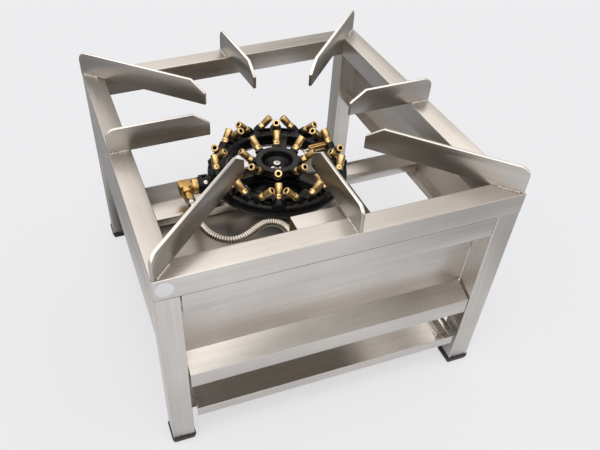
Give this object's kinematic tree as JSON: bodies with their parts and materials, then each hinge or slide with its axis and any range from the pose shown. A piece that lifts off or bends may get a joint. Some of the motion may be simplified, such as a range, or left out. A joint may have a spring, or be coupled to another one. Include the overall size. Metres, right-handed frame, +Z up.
{
  "type": "stock pot range",
  "caption": "Low square-tube stand with upright pot bars round the top, a cast ring burner with leaning brass jets inside, a ribbed gas hose and a pull-out drip tray.",
  "frame": {"origin": "on the floor under the middle of the frame", "axes": "+Z up, the front with the apron and the drip tray faces -Y, +X to the right seen from the front"},
  "size_m": [0.6144, 0.6404, 0.47],
  "materials": {
    "brushed_stainless": "brushed along each piece, warm grey",
    "weld_steel": "bright weld bead",
    "bright_steel": "bright zinc plated or stainless",
    "hose_steel": "bright corrugated stainless",
    "black_iron": "satin black coated casting",
    "brass": "turned, satin",
    "black_plastic": "matt black",
    "white_label": "bare white disc"
  },
  "bodies": {
    "stand": {"front_rail": "brushed_stainless", "rear_rail": "brushed_stainless", "left_rail": "brushed_stainless", "right_rail": "brushed_stainless", "leg_front_left": "brushed_stainless", "leg_front_right": "brushed_stainless", "leg_rear_left": "brushed_stainless", "leg_rear_right": "brushed_stainless", "foot_front_left": "black_plastic", "foot_front_right": "black_plastic", "foot_rear_left": "black_plastic", "foot_rear_right": "black_plastic", "bar_front": "brushed_stainless", "bar_rear": "brushed_stainless", "bar_left": "brushed_stainless", "bar_right": "brushed_stainless", "bar_front_left": "brushed_stainless", "bar_front_right": "brushed_stainless", "bar_rear_left": "brushed_stainless", "bar_rear_right": "brushed_stainless", "bar_welds": "weld_steel", "front_apron": "brushed_stainless", "front_panel": "brushed_stainless", "drip_shelf": "brushed_stainless", "side_panel_left": "brushed_stainless", "side_panel_right": "brushed_stainless", "heat_shield": "brushed_stainless", "burner_bearer": "brushed_stainless", "bearer_bolts": "bright_steel", "valve_cover": "brushed_stainless", "runner_left": "brushed_stainless", "runner_right": "brushed_stainless", "label_disc": "white_label", "burner_ring": "black_iron", "burner_base": "black_iron", "burner_hub": "black_iron", "ring_jets_centre": "brass", "ring_jets_side": "brass", "hub_jets": "brass", "hub_stud": "bright_steel", "hub_washer": "bright_steel", "stud_nut": "bright_steel", "burner_foot": "black_iron", "mixer_tube": "black_iron", "injector": "brass", "gas_elbow": "brass", "hose_nut_burner": "brass", "hose_ferrule_burner": "bright_steel", "gas_hose": "hose_steel", "hose_ferrule_valve": "bright_steel", "hose_nut_valve": "brass", "gas_valve": "brass", "supply_pipe": "brass", "supply_nut": "brass", "pilot_bracket": "bright_steel", "pilot_head": "brass"},
    "tray": {"drip_tray": "brushed_stainless", "tray_tab": "brushed_stainless"},
    "shutter": {"air_shutter": "black_iron", "lock_screw": "bright_steel"}
  },
  "joints": [
    {"name": "tray_slide", "type": "slide", "parent": "stand", "child": "tray", "axis": [0, -1, 0], "range_m": [0, 0.45]},
    {"name": "shutter_turn", "type": "hinge", "parent": "stand", "child": "shutter", "pos_m": [-0.13873, 0.00579, 0.32], "axis": [-0.9981, 0.061, 0], "range_deg": [0, 45]}
  ]
}
